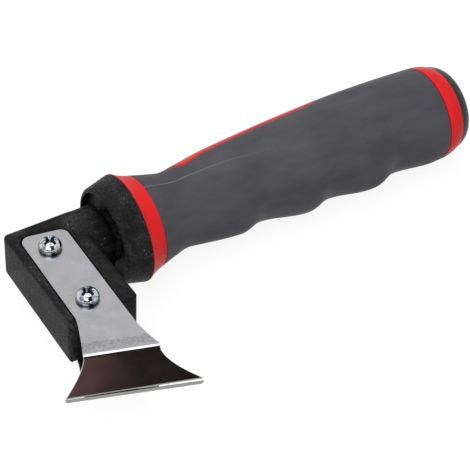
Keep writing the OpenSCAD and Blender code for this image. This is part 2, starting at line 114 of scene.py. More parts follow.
class Drawing:
    """A node tree that is drawn call by call."""

    def __init__(self, tree: bpy.types.NodeTree, prefix: str = "") -> None:
        """Takes the tree to draw in.

        Args:
            tree: The tree.
            prefix: What the node types start with, when add() is given the rest.
        """
        self.tree = tree
        self.prefix = prefix

    def add(self, kind: str, settings: dict | None = None, **inputs: object) -> bpy.types.Node:
        """Adds one node.

        Args:
            kind: Node type without the prefix.
            settings: Properties of the node itself.
            **inputs: Sockets by name, with spaces as underscores: a value or a socket to link.

        Returns:
            The new node.
        """
        node = self.tree.nodes.new(self.prefix + kind)
        for key, value in (settings or {}).items():
            setattr(node, key, value)
        for key, value in inputs.items():
            self.put(node.inputs[key.replace("_", " ")], value)
        return node

    def put(self, socket: bpy.types.NodeSocket, value: object) -> None:
        """Links a socket into another, or sets its plain value.

        Args:
            socket: The socket that takes it.
            value: A value or a socket to link.
        """
        if isinstance(value, bpy.types.NodeSocket):
            self.tree.links.new(value, socket)
        else:
            socket.default_value = value

    def fill(self, kind: str, *values: object) -> bpy.types.Node:
        """Adds one node and fills its first sockets.

        Args:
            kind: Full type name of the node.
            *values: Values or sockets, in the order of the node's own sockets.

        Returns:
            The new node.
        """
        node = self.tree.nodes.new(kind)
        for socket, value in zip(node.inputs, values):
            self.put(socket, value)
        return node

    def math(self, operation: str, a: object, b: object = 0.0) -> bpy.types.NodeSocket:
        """Adds a Math node.

        Args:
            operation: Name of the operation.
            a: First value or socket.
            b: Second value or socket.

        Returns:
            The result's socket.
        """
        node = self.fill("ShaderNodeMath", a, b)
        node.operation = operation
        return node.outputs[0]

    def product(self, first: object, *more: object) -> bpy.types.NodeSocket:
        """Multiplies two or more values.

        Args:
            first: First value or socket.
            *more: The others.

        Returns:
            The result's socket.
        """
        for value in more:
            first = self.math("MULTIPLY", first, value)
        return first

    def spread(self, value: object, low: float, high: float, to_low: float = 0.0,
               to_high: float = 1.0) -> bpy.types.NodeSocket:
        """Maps a value from one range to another, clamped.

        Args:
            value: The value's socket.
            low: Start of its range.
            high: End of its range.
            to_low: Result at the start.
            to_high: Result at the end.

        Returns:
            The result's socket.
        """
        return self.fill("ShaderNodeMapRange", value, low, high, to_low, to_high).outputs[0]


class Shader(Drawing):
    """A surface material."""

    def __init__(self, name: str) -> None:
        """Starts an empty material.

        Args:
            name: Name of the material.
        """
        self.material = bpy.data.materials.new(name)
        self.material.use_nodes = True
        super().__init__(self.material.node_tree, "ShaderNode")
        self.tree.nodes.clear()
        self.out = self.add("OutputMaterial")

    def object_points(self, stretch: Sequence[float] = (1, 1, 1),
                      turn: float = 0.0) -> bpy.types.NodeSocket:
        """Gives the place on the object.

        Args:
            stretch: Scale of the pattern along each axis.
            turn: Turn of the pattern about Z, in radians.

        Returns:
            Socket with the coordinates.
        """
        place = self.add("TexCoord").outputs["Object"]
        moved = self.add("Mapping", Vector=place, Rotation=(0, 0, turn), Scale=tuple(stretch))
        return moved.outputs[0]

    def attribute(self, name: str) -> bpy.types.NodeSocket:
        """Gives a number that the mesh carries at its points."""
        return self.add("Attribute", {"attribute_name": name}).outputs["Fac"]

    def open_sky(self, reach: float) -> bpy.types.NodeSocket:
        """Gives how open a place is: 0 deep in a corner, 1 where nothing stands within reach."""
        return self.add("AmbientOcclusion", {"samples": 8}, Distance=reach).outputs["AO"]

    def noise(self, place: object, size: float, detail: float = 2.0,
              rough: float = 0.5) -> bpy.types.NodeSocket:
        """Adds a noise pattern.

        Args:
            place: Socket with the coordinates.
            size: Size of its blotches, in metres.
            detail: Number of finer layers.
            rough: Share of the finer layers.

        Returns:
            Socket with a value around 0.5.
        """
        node = self.add("TexNoise", Vector=place, Scale=1 / size, Detail=detail, Roughness=rough)
        return node.outputs["Fac"]

    def mix(self, share: object, a: object, b: object) -> bpy.types.NodeSocket:
        """Mixes two colours.

        Args:
            share: Share of the second colour.
            a: First colour or socket.
            b: Second colour or socket.

        Returns:
            Socket with the mixed colour.
        """
        node = self.add("Mix", {"data_type": "RGBA"})
        for socket, value in ((node.inputs[0], share), (node.inputs[6], a), (node.inputs[7], b)):
            self.put(socket, (*value, 1.0) if isinstance(value, tuple) else value)
        return node.outputs[2]

    def bump(self, height: object, depth: float, below: object = None) -> bpy.types.NodeSocket:
        """Turns a height pattern into a relief.

        Args:
            height: Socket with the height, 0 to 1.
            depth: Depth of the relief, in metres.
            below: Normal of a coarser relief under this one.

        Returns:
            Socket with the bent normal.
        """
        node = self.add("Bump", Height=height, Distance=depth, Strength=1.0)
        if below is not None:
            self.put(node.inputs["Normal"], below)
        return node.outputs[0]

    def surface(self, **inputs: object) -> bpy.types.Material:
        """Closes the material with its main surface shader.

        Args:
            **inputs: Sockets of the Principled shader, with spaces as underscores.

        Returns:
            The finished material.
        """
        return self.close(self.add("BsdfPrincipled", **inputs))

    def close(self, node: bpy.types.Node) -> bpy.types.Material:
        """Ends the material in a shader node and gives it."""
        self.put(self.out.inputs["Surface"], node.outputs[0])
        return self.material


# --------------------------------------------------------------------------- finishes


@dataclass(frozen=True)
class GrainedNylon:
    """Glass-filled nylon with a coarse spark-eroded grain, pale specks painted in as glints, and
    painted shade in its corners and recesses.
    """

    name: str = "black_nylon_grain"
    dark: Colour = (0.003, 0.003, 0.003)
    light: Colour = (0.017, 0.017, 0.018)
    worn: Colour = (0.036, 0.036, 0.039)
    # painted highlight: pale specks that stand in for glints where the grain catches light
    glint_speck: Colour = (0.2, 0.2, 0.2)
    # painted shade: the near-black colour painted into corners, creases and recesses, where shade
    # falls
    painted_shade: Colour = (0.001, 0.001, 0.001)
    grain: float = 0.8 * MM
    depth: float = 0.2 * MM
    speck_size: float = 0.56 * MM
    spot_size: float = 1.28 * MM
    cloud_size: float = 6.4 * MM
    worn_size: float = 11.2 * MM
    light_from: Range = (0.8, 1.25)
    speck_from: Range = (0.66, 0.76)
    glint_cloud_from: Range = (0.45, 0.65)
    spot_from: Range = (0.4, 0.65)
    worn_from: Range = (0.5, 0.68)
    reach: float = 6.0 * MM
    painted_shade_from: Range = (0.15, 0.75)
    deepest: float = 0.2
    roughness: Range = (0.65, 0.38)
    gloss: float = 0.10

    def build(self) -> bpy.types.Material:
        """Makes the material.

        Returns:
            The material.
        """
        s = Shader(self.name)
        place = s.object_points()
        grain = s.noise(place, self.grain, detail=4, rough=0.7)
        cloud = s.noise(place, self.cloud_size, detail=4, rough=0.6)
        glint_speck = s.noise(place, self.speck_size, detail=1)
        worn = s.noise(place, self.worn_size, detail=3, rough=0.6)
        spot = s.noise(place, self.spot_size, detail=3)
        # painted highlight: pale specks as glints of the grain, in patches of the cloud
        painted_glints = s.product(s.spread(glint_speck, *self.speck_from), s.spread(cloud, *self.glint_cloud_from))
        rubbed = s.product(s.spread(worn, *self.worn_from), s.spread(spot, *self.spot_from))
        body = s.mix(s.spread(s.math("ADD", grain, cloud), *self.light_from), self.dark, self.light)
        body = s.mix(rubbed, body, self.worn)
        # painted shade: ambient occlusion darkens the colour and lowers the gloss in corners,
        # creases and recesses
        unshaded_share = s.spread(s.open_sky(self.reach), *self.painted_shade_from, self.deepest)
        return s.surface(
            Base_Color=s.mix(unshaded_share, self.painted_shade, s.mix(painted_glints, body, self.glint_speck)),
            Roughness=s.spread(grain, *BULK, *self.roughness),
            Specular_IOR_Level=s.product(unshaded_share, self.gloss),
            Normal=s.bump(grain, self.depth, s.bump(cloud, self.depth)),
        )


@dataclass(frozen=True)
class SatinPlastic:
    """Hard plastic from a lightly textured mould."""

    name: str
    colour: Colour
    shade: Colour
    roughness: float = 0.36
    rough_span: Range = (-0.05, 0.07)
    sheen: float = 0.3
    texture: float = 0.9 * MM
    depth: float = 0.006 * MM
    cloud: float = 19.8 * MM
    shade_from: Range = (0.35, 0.7)

    def build(self) -> bpy.types.Material:
        """Makes the material.

        Returns:
            The material.
        """
        s = Shader(self.name)
        place = s.object_points()
        fine = s.noise(place, self.texture, detail=2)
        cloud = s.noise(place, self.cloud, detail=3)
        rough = (self.roughness + change for change in self.rough_span)
        return s.surface(
            Base_Color=s.mix(s.spread(cloud, *self.shade_from), self.colour, self.shade),
            Roughness=s.spread(cloud, *BULK, *rough),
            Specular_IOR_Level=self.sheen,
            Normal=s.bump(fine, self.depth),
        )


@dataclass(frozen=True)
class SoftRubber:
    """Matt thermoplastic rubber with a very fine mould texture and a painted highlight along the
    parting line.
    """

    name: str = "grey_soft_rubber"
    colour: Colour = (0.056, 0.0565, 0.066)
    worn: Colour = (0.082, 0.0825, 0.094)
    # painted highlight: lighter colour along the parting line, where its raised ridge catches light
    ridge: Colour = (0.16, 0.16, 0.175)
    worn_from: Range = (0.35, 0.72)
    roughness: Range = (0.62, 0.51)
    gloss: float = 0.16
    grain: float = 0.28 * MM
    grain_depth: float = 0.008 * MM
    cloud: float = 9.0 * MM
    cloud_depth: float = 0.03 * MM
    stretch: float = 0.4

    def build(self) -> bpy.types.Material:
        """Makes the material.

        Returns:
            The material.
        """
        s = Shader(self.name)
        fine = s.noise(s.object_points(), self.grain, detail=2)
        along = s.object_points((self.stretch, 1, 1))
        cloud = s.noise(along, self.cloud, detail=4, rough=0.6)
        body = s.mix(s.spread(cloud, *self.worn_from), self.colour, self.worn)
        return s.surface(
            # painted highlight along the parting line
            Base_Color=s.mix(s.attribute("ridge"), body, self.ridge),
            Roughness=s.spread(cloud, *BULK, *self.roughness),
            Specular_IOR_Level=self.gloss,
            Normal=s.bump(fine, self.grain_depth, s.bump(cloud, self.cloud_depth)),
        )


@dataclass(frozen=True)
class Metal:
    """Bare or plated metal with drawn marks along one direction."""

    name: str
    colour: Colour
    roughness: float
    marks: Sequence[float] = (1, 1, 1)
    mark_size: float = 0.4 * MM
    mark_depth: float = 0.0006 * MM
    cloud: float = 6.0 * MM
    shade: float = 0.86
    light_from: Range = (0.7, 1.3)
    rough_share: Range = (0.75, 1.3)
    turn: float = 0.0

    def build(self) -> bpy.types.Material:
        """Makes the material.

        Returns:
            The material.
        """
        s = Shader(self.name)
        drawn = s.object_points(self.marks, self.turn)
        marks = s.noise(drawn, self.mark_size, detail=3, rough=0.6)
        cloud = s.noise(s.object_points(), self.cloud, detail=3)
        darker = tuple(self.shade * c for c in self.colour)
        light = s.spread(s.math("ADD", marks, cloud), *self.light_from)
        rough = (self.roughness * share for share in self.rough_share)
        return s.surface(
            Base_Color=s.mix(light, darker, self.colour),
            Metallic=1.0,
            Roughness=s.spread(marks, *BULK, *rough),
            Normal=s.bump(marks, self.mark_depth),
        )


@dataclass(frozen=True)
class BladeSteel:
    """Polished sheet steel, faintly clouded, with a darker, rougher band just before the bend line.

    The mesh carries "from_bend", the way outwards from the bend line in millimetres.
    """

    name: str = "polished_steel"
    bright: Colour = (0.44, 0.44, 0.465)
    dull: Colour = (0.385, 0.385, 0.395)
    band: Colour = (0.20, 0.20, 0.20)
    roughness: float = 0.19
    mirror: float = 0.05
    cloud: float = 5.0 * MM
    grain: float = 0.8 * MM
    wave: float = 14.0 * MM
    wave_depth: float = 0.006 * MM
    dull_from: Range = (0.35, 0.65)
    mirror_from: Range = (-0.6, 0.6)
    band_start: Range = (-4.6, -4.0)
    band_end: Range = (-0.2, -0.9)
    band_share: float = 0.8
    ragged: float = 2.5
    band_rough: float = 0.2
    fine_rough: float = 0.03

    def build(self) -> bpy.types.Material:
        """Makes the material.

        Returns:
            The material.
        """
        s = Shader(self.name)
        place = s.object_points()
        cloud = s.noise(place, self.cloud, detail=5, rough=0.6)
        fine = s.noise(place, self.grain, detail=3, rough=0.6)
        bend = s.attribute("from_bend")
        edge = s.math("ADD", bend, s.product(s.math("SUBTRACT", cloud, 0.5), self.ragged))
        # a darker, rougher band with a ragged edge, just before the bend line
        dark_band = s.product(s.spread(edge, *self.band_start), s.spread(edge, *self.band_end),
                            s.spread(fine, *self.dull_from, 0.0, self.band_share))
        body = s.mix(s.spread(cloud, *self.dull_from), self.bright, self.dull)
        rough = s.math("ADD", s.spread(bend, *self.mirror_from, self.roughness, self.mirror),
                       s.product(s.spread(fine, *BULK), self.fine_rough))
        return s.surface(
            Base_Color=s.mix(dark_band, body, self.band),
            Metallic=1.0,
            Roughness=s.math("ADD", rough, s.product(dark_band, self.band_rough)),
            Normal=s.bump(s.noise(place, self.wave, detail=1), self.wave_depth),
        )


@dataclass(frozen=True)
class BlueZinc:
    """Blue-passivated zinc plate, with painted shade in the recess and where the head meets the
    blade.

    The mesh carries "above_seat", the height above the blade in millimetres.
    """

    name: str = "blue_zinc"
    colour: Colour = (0.55, 0.61, 0.65)
    shade: Colour = (0.15, 0.17, 0.20)
    # painted shade: the dark colour of the recess and of the head's foot, where shade falls
    painted_recess_shade: Colour = (0.055, 0.070, 0.085)
    roughness: float = 0.06
    cloud: float = 1.4 * MM
    cloud_depth: float = 0.02 * MM
    shade_from: Range = (0.46, 0.62)
    reach: float = 1.1 * MM
    painted_shade_from: Range = (0.15, 0.7)
    # painted shade: heights above the blade, in millimetres, over which the painted shade at the
    # head's foot fades out
    shade_fade_height: Range = (0.4, 1.4)
    dulling: float = 1.6

    def build(self) -> bpy.types.Material:
        """Makes the material.

        Returns:
            The material.
        """
        s = Shader(self.name)
        cloud = s.noise(s.object_points(), self.cloud, detail=3)
        plate = s.mix(s.spread(cloud, *self.shade_from), self.colour, self.shade)
        # painted shade: darker in the recess by ambient occlusion, and darker towards the head's
        # foot by height above the blade
        out_of_shade = s.product(s.spread(s.open_sky(self.reach), *self.painted_shade_from),
                          s.spread(s.attribute("above_seat"), *self.shade_fade_height))
        return s.surface(
            Base_Color=s.mix(out_of_shade, self.painted_recess_shade, plate),
            Metallic=1.0,
            Roughness=s.spread(cloud, *BULK, self.roughness, self.dulling * self.roughness),
            Normal=s.bump(cloud, self.cloud_depth),
        )


class Finishes:
    """All finishes of the tool, each built once."""

    def __init__(self) -> None:
        """Builds the materials."""
        self.nylon = GrainedNylon().build()
        self.red = SatinPlastic("red_satin", colour=(0.80, 0.020, 0.022),
                                shade=(0.70, 0.014, 0.016), sheen=0.10).build()
        self.cap = SatinPlastic("black_satin", colour=(0.006, 0.006, 0.007),
                                shade=(0.011, 0.011, 0.012), roughness=0.4).build()
        self.rubber = SoftRubber().build()
        self.blade = BladeSteel().build()
        self.ground = Metal("ground_steel", colour=(0.36, 0.36, 0.35), roughness=0.5,
                            marks=(1, 0.08, 1), mark_size=0.12 * MM, mark_depth=0.002 * MM,
                            turn=math.radians(RAKE)).build()
        self.screw = BlueZinc().build()
        self.plate = Metal("zinc_plate", colour=(0.55, 0.57, 0.60), roughness=0.3).build()
        self.brass = Metal("turned_brass", colour=(0.72, 0.50, 0.22), roughness=0.25).build()

    def dress(self, nodes: dict[str, bpy.types.Object]) -> None:
        """Gives each rigid node its finish.

        Args:
            nodes: The frame's nodes by name.
        """
        worn_by = {
            "head_block": self.nylon, "collar": self.nylon, "handle_core": self.red,
            "end_cap": self.cap, "grip_sleeve": self.rubber,
        }
        for name, thing in nodes.items():
            finish = worn_by.get(name)
            if finish is None and name.startswith("tang"):
                finish = self.plate
            elif finish is None and name.endswith("insert"):
                finish = self.brass
            elif finish is None:
                finish = self.blade if name.endswith("blade") else self.screw
            thing.data.materials.clear()
            thing.data.materials.append(finish)


# --------------------------------------------------------------------------- mesh helpers


def show(thing: bpy.types.Object) -> bpy.types.Object:
    """Puts a new object into the scene."""
    bpy.context.scene.collection.objects.link(thing)
    return thing


def solid(name: str, bm: bmesh.types.BMesh, *finishes: bpy.types.Material) -> bpy.types.Object:
    """Makes a shown object from a closed bmesh.

    Args:
        name: Name of the piece.
        bm: Its mesh, freed here.
        *finishes: Its materials.

    Returns:
        The new object.
    """
    bmesh.ops.remove_doubles(bm, verts=bm.verts, dist=WELD)
    bmesh.ops.recalc_face_normals(bm, faces=bm.faces)
    mesh = bpy.data.meshes.new(name)
    bm.to_mesh(mesh)
    bm.free()
    for finish in finishes:
        mesh.materials.append(finish)
    return show(bpy.data.objects.new(name, mesh))


def smooth(thing: bpy.types.Object, degrees: float) -> None:
    """Shades a mesh smooth, with sharp edges where it turns by more than an angle.

    Args:
        thing: The object.
        degrees: The angle.
    """
    mesh = thing.data
    mesh.polygons.foreach_set("use_smooth", [True] * len(mesh.polygons))
    mesh.set_sharp_from_angle(angle=math.radians(degrees))


def evaluated(thing: bpy.types.Object) -> bpy.types.Mesh:
    """Gives an object's evaluated mesh as a new one."""
    graph = bpy.context.evaluated_depsgraph_get()
    return bpy.data.meshes.new_from_object(thing.evaluated_get(graph))


def plain(thing: bpy.types.Object) -> bpy.types.Object:
    """Replaces an object's mesh by its evaluated result, with no modifiers left.

    Args:
        thing: The object.

    Returns:
        The same object.
    """
    result = evaluated(thing)
    thing.modifiers.clear()
    thing.data = result
    return thing


def cut(thing: bpy.types.Object, *tools: bpy.types.Object) -> None:
    """Cuts closed tools out of a closed mesh and removes the tools.

    Args:
        thing: The object that is cut.
        *tools: The tools, removed here.
    """
    for tool in tools:
        step = thing.modifiers.new("cut", "BOOLEAN")
        step.operation = "DIFFERENCE"
        step.solver = "EXACT"
        step.object = tool
        plain(thing)
        bpy.data.objects.remove(tool)


def carry(thing: bpy.types.Object, name: str, values: Sequence[float]) -> None:
    """Gives a mesh one number at each of its points.

    Args:
        thing: The object.
        name: Name of the attribute.
        values: Its values, in the order of the points.
    """
    layer = thing.data.attributes.new(name, "FLOAT", "POINT")
    layer.data.foreach_set("value", values)


def lathe(bm: bmesh.types.BMesh, profile: Sequence[Point2], angles: Sequence[float], closed: bool,
          place: Callable[[float, float, float], Sequence[float]]) -> None:
    """Turns a profile about an axis.

    Args:
        bm: Mesh that takes the faces.
        profile: Points (along, radius).
        angles: Angles of the columns, in radians, going once round.
        closed: Whether the profile is a closed ring and not a line from pole to pole.
        place: Gives the point for (along, radius, angle).
    """
    rows = [[bm.verts.new(place(x, r, a)) for a in angles] for x, r in profile]
    pairs = list(zip(rows, rows[1:])) + ([(rows[-1], rows[0])] if closed else [])
    for low, high in pairs:
        for i in range(len(angles)):
            j = (i + 1) % len(angles)
            bm.faces.new((low[i], low[j], high[j], high[i]))


def round_turn(count: int) -> list[float]:
    """Gives evenly spaced angles of a full turn."""
    return [2 * math.pi * i / count for i in range(count)]


def arc(centre: Point2, radius: float, start: float, end: float, steps: int) -> list[Point2]:
    """Gives points of an arc.

    Args:
        centre: Its centre.
        radius: Its radius.
        start: First angle, in degrees.
        end: Last angle, in degrees.
        steps: Number of chords.

    Returns:
        The points, both ends included.
    """
    turns = [math.radians(start + (end - start) * i / steps) for i in range(steps + 1)]
    return [(centre[0] + radius * math.cos(t), centre[1] + radius * math.sin(t)) for t in turns]


# --------------------------------------------------------------------------- geometry nodes


class NodeSheet(Drawing):
    """A geometry node tree with named inputs."""

    def __init__(self, name: str, **sizes: float) -> None:
        """Starts a tree that takes and gives geometry.

        Args:
            name: Name of the tree.
            **sizes: Its number inputs with their starting values.
        """
        super().__init__(bpy.data.node_groups.new(name, "GeometryNodeTree"))
        self.socket("Geometry", "Geometry", "INPUT")
        self.socket("Geometry", "Geometry", "OUTPUT")
        for label, value in sizes.items():
            self.socket(label, "Float", "INPUT").default_value = value
        self.socket("Finish", "Material", "INPUT")
        self.source = self.add("NodeGroupInput").outputs
        self.result = self.add("NodeGroupOutput").inputs["Geometry"]

    def socket(self, label: str, kind: str, way: str) -> bpy.types.NodeTreeInterfaceSocket:
        """Gives the tree one more input or output."""
        return self.tree.interface.new_socket(label, in_out=way, socket_type="NodeSocket" + kind)

    def close(self, geometry: bpy.types.NodeSocket) -> bpy.types.NodeTree:
        """Ends the tree in Realize Instances and Set Material.

        Args:
            geometry: Socket with the finished geometry.

        Returns:
            The tree.
        """
        real = self.add("GeometryNodeRealizeInstances", Geometry=geometry)
        dressed = self.add("GeometryNodeSetMaterial", Geometry=real.outputs[0],
                           Material=self.source["Finish"])
        self.put(self.result, dressed.outputs[0])
        return self.tree


def grow(thing: bpy.types.Object, tree: bpy.types.NodeTree, finish: bpy.types.Material,
         **sizes: float) -> bpy.types.Object:
    """Runs a tree on an object and keeps the result as its plain mesh.

    Args:
        thing: The object, whose mesh is the tree's input.
        tree: The geometry node tree.
        finish: Material for the result.
        **sizes: Number inputs by name.

    Returns:
        The object.
    """
    step = thing.modifiers.new(tree.name, "NODES")
    step.node_group = tree
    values = {**sizes, "Finish": finish}
    for item in tree.interface.items_tree:
        if item.in_out == "INPUT" and item.name in values:
            step[item.identifier] = values[item.name]
    return plain(thing)


# --------------------------------------------------------------------------- soft grip


@dataclass
class SoftGrip:
    """Rubber sleeve moulded on the core, with finger grooves and a window for the thumb panel."""

    core: float = 10.4 * MM
    core_swell: float = 12.2 * MM
    front: float = 16.1 * MM
    waist: float = 13.3 * MM
    swell: float = 17.8 * MM
    butt: float = 16.85 * MM
    groove_depth: float = 3.0 * MM
    groove_pitch: float = 26.6 * MM
    groove_first: float = 31.0 * MM
    groove_count: int = 3
    groove_valley: float = 0.37
    groove_wrap: float = 0.35
    groove_falloff: float = 1.3
    panel_offset: float = 15.5 * MM
    panel_length: float = 67.0 * MM
    panel_front: float = 12.9 * MM
    panel_corner: float = 4.5 * MM
    panel_rear: float = 14.5 * MM
    rear_steps: int = 64
    corner_steps: int = 20
    seam_depth: float = 0.35 * MM
    seam_width: float = 0.55 * MM
    end_round: float = 0.5 * MM
    parting_height: float = 0.12 * MM
    parting_width: float = 0.3 * MM
    parting_start: float = 92.5
    parting_drift: float = 42.0
    drift_from: float = 0.13
    drift_to: float = 0.5
    ridge_fade: Range = (0.24, 0.44)
    # where the painted highlight on the parting line fades out
    ridge_highlight_fade: Range = (0.12, 0.42)
    column_reach: float = 0.8
    core_turns: Range = (0.15, 0.5)
    skin_margin: float = 0.1 * MM
    rings: int = 250
    columns: int = 176
    x0: float = field(init=False)
    x1: float = field(init=False)

    def __post_init__(self) -> None:
        """Reads where the sleeve starts and ends from the frame."""
        low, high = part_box("grip_sleeve")
        self.x0, self.x1 = low.x, high.x

    @property
    def length(self) -> float:
        """Length of the sleeve."""
        return self.x1 - self.x0

    @property
    def skin_from(self) -> float:
        """Radius beyond which a point belongs to the skin."""
        return self.core_swell + self.skin_margin

    def stations(self) -> list[Point2]:
        """Gives the sleeve's radius at shares of its length.

        Returns:
            Pairs (share of the length, radius).
        """
        rise = self.swell - self.waist
        return [
            (0.0, self.front),
            (0.05, (self.front + 1.3 * self.waist) / 2.3),
            (0.1, self.waist),
            (0.155, self.waist + 0.16 * rise),
            (0.24, self.waist + 0.45 * rise),
            (0.35, self.waist + 0.66 * rise),
            (0.49, self.waist + 0.85 * rise),
            (0.67, self.swell),
            (0.86, (3 * self.swell + self.butt) / 4),
            (1.0, self.butt),
        ]

    def radius(self, share: float) -> float:
        """Gives the radius without grooves at a share of the length.

        Args:
            share: Share of the length.

        Returns:
            The radius.
        """
        s = self.stations()
        i = max(k for k in range(len(s) - 1) if k == 0 or share >= s[k][0])
        step = s[i + 1][0] - s[i][0]
        t = (share - s[i][0]) / step
        tilts = [(s[min(k + 1, len(s) - 1)][1] - s[max(k - 1, 0)][1])
                 / (s[min(k + 1, len(s) - 1)][0] - s[max(k - 1, 0)][0]) for k in (i, i + 1)]
        return (s[i][1] * (2 * t**3 - 3 * t**2 + 1) + tilts[0] * step * (t**3 - 2 * t**2 + t)
                + s[i + 1][1] * (3 * t**2 - 2 * t**3) + tilts[1] * step * (t**3 - t**2))

    def window_gap(self, x: float, z: float) -> float:
        """Gives the distance from the outline of the panel's window, negative inside.

        Args:
            x: Place along the handle.
            z: Place across it.

        Returns:
            The signed distance.
        """
        front, rear, lean = self.window()
        inset = self.panel_front - self.panel_corner
        u, w = x - front, abs(z) - inset
        along = u * math.cos(lean) + w * math.sin(lean)
        if along < 0:
            return math.hypot(u, w) - self.panel_corner if w > 0 else -u - self.panel_corner
        if along > (rear - front) * math.cos(lean) - inset * math.sin(lean):
            return math.hypot(x - rear, z) - self.panel_rear
        return w * math.cos(lean) - u * math.sin(lean) - self.panel_corner

    def window(self) -> tuple[float, float, float]:
        """Gives the places of the window's corners and its rear arc, and the lean of its sides.

        Returns:
            Place of the corners along the handle, place of the rear arc, lean in radians.
        """
        front = self.x0 + self.panel_offset + self.panel_corner
        rear = self.x0 + self.panel_offset + self.panel_length - self.panel_rear
        return front, rear, math.asin((self.panel_rear - self.panel_front) / (rear - front))

    def seam(self, x: float, y: float, z: float) -> float:
        """Gives how far the skin dips at the window's edge.

        Args:
            x: Place along the handle.
            y: Height above its axis.
            z: Place across it.

        Returns:
            The depth.
        """
        if y < 0:
            return 0.0
        return self.seam_depth * math.exp(-((self.window_gap(x, z) / self.seam_width) ** 2))

    def parting_place(self, share: float) -> float:
        """Gives the angle from +Y at which the parting line runs, at a share of the length."""
        drift = max(0.0, min(share, self.drift_to) - self.drift_from)
        return math.radians(self.parting_start + self.parting_drift * drift)

    def faded(self, share: float, fade: Range, off: float) -> float:
        """Gives how strong the parting line is at a place.

        Args:
            share: Share of the sleeve's length.
            fade: Shares between which it fades out.
            off: Distance from the line.

        Returns:
            Its strength, 0 to 1.
        """
        left = min(max((fade[1] - share) / (fade[1] - fade[0]), 0.0), 1.0)
        return left * max(0.0, 1 - off / self.parting_width)

    def parting(self, angle: float, share: float) -> float:
        """Gives the height of the mould's parting line, which runs out along the swell.

        Args:
            angle: Angle of the column from +Y, before it is moved onto the line.
            share: Share of the sleeve's length.

        Returns:
            The height above the skin.
        """
        off = abs(abs(math.remainder(angle, 2 * math.pi)) - math.pi / 2) * self.swell
        return self.parting_height * self.faded(share, self.ridge_fade, off)

    def ridge_highlight_share(self, x: float, y: float, z: float) -> float:
        """Gives how much a point of the skin lies on the parting line, 0 to 1, which sets the
        painted highlight along it.

        Args:
            x: Place along the handle.
            y: Height above its axis.
            z: Place across it.

        Returns:
            The share.
        """
        share = min(max((x - self.x0) / self.length, 0.0), 1.0)
        off = abs(abs(math.atan2(z, y)) - self.parting_place(share)) * math.hypot(y, z)
        return self.faded(share, self.ridge_highlight_fade, off)

    def column(self, angle: float, share: float) -> float:
        """Gives the angle of a column, bent so that the finest ones follow the parting line.

        Args:
            angle: Even angle of the column from +Y.
            share: Share of the sleeve's length.

        Returns:
            The bent angle.
        """
        turn = math.remainder(angle, 2 * math.pi)
        near = max(0.0, 1 - abs(abs(turn) - math.pi / 2) / self.column_reach)
        drift = self.parting_place(share) - math.pi / 2
        return turn + math.copysign(drift * near * near * (3 - 2 * near), turn)

    def angles(self) -> list[float]:
        """Gives the column angles from +Y, with extra ones at the parting line.

        Returns:
            The angles in radians, rising.
        """
        close = [0.5 * self.parting_width / self.swell * k for k in (-2, -1, 1, 2)]
        extra = [side * math.pi / 2 + c for side in (1, 3) for c in close]
        return sorted(round_turn(self.columns) + extra)

    def skin_profile(self) -> list[Point2]:
        """Gives the outer line of the sleeve with its rounded ends.

        Returns:
            Points (along the handle, radius).
        """
        line = []
        for i in range(self.rings + 1):
            share = i / self.rings
            end = min(share, 1 - share) * self.length
            dip = max(0.0, self.end_round - end)
            drop = self.end_round - math.sqrt(self.end_round**2 - dip**2)
            line.append((self.x0 + share * self.length, self.radius(share) - drop))
        return line

    def groove_tree(self) -> bpy.types.NodeTree:
        """Draws the tree that presses the finger grooves into the skin.

        Returns:
            The tree.
        """
        s = NodeSheet("finger_grooves", Start=0.0, Pitch=1.0, Count=3.0, Depth=0.0,
                      Valley=self.groove_valley, Wrap=self.groove_wrap,
                      Falloff=self.groove_falloff)
        place = s.add("GeometryNodeInputPosition").outputs[0]
        x, y, z = s.add("ShaderNodeSeparateXYZ", Vector=place).outputs
        skin = s.add("GeometryNodeInputNamedAttribute", {"data_type": "FLOAT"}, Name="skin")
        turns = s.math("DIVIDE", s.math("SUBTRACT", x, s.source["Start"]), s.source["Pitch"])
        part = s.math("FRACT", turns)
        falling = s.math("DIVIDE", part, s.source["Valley"])
        rising = s.math("DIVIDE", s.math("SUBTRACT", 1.0, part),
                        s.math("SUBTRACT", 1.0, s.source["Valley"]))
        wave = s.math("COSINE", s.product(s.math("MINIMUM", falling, rising), math.pi))
        share = s.math("DIVIDE", s.math("SUBTRACT", 1.0, wave), 2.0)
        inside = s.product(s.math("GREATER_THAN", turns, 0.0),
                           s.math("LESS_THAN", turns, s.source["Count"]))
        radius = s.math("SQRT", s.math("ADD", s.product(y, y), s.product(z, z)))
        facing = s.math("SUBTRACT", s.source["Wrap"], s.math("DIVIDE", y, radius))
        facing = s.math("DIVIDE", s.math("MAXIMUM", facing, 0.0),
                        s.math("ADD", s.source["Wrap"], 1.0))
        reach = s.math("POWER", facing, s.source["Falloff"])
        dark_band = s.product(share, reach, inside, skin.outputs[0], s.source["Depth"])
        shrink = s.math("SUBTRACT", 1.0, s.math("DIVIDE", dark_band, radius))
        new = s.add("ShaderNodeCombineXYZ", X=x, Y=s.product(y, shrink),
                    Z=s.product(z, shrink)).outputs[0]
        moved = s.add("GeometryNodeSetPosition", Geometry=s.source["Geometry"], Position=new)
        return s.close(moved.outputs[0])

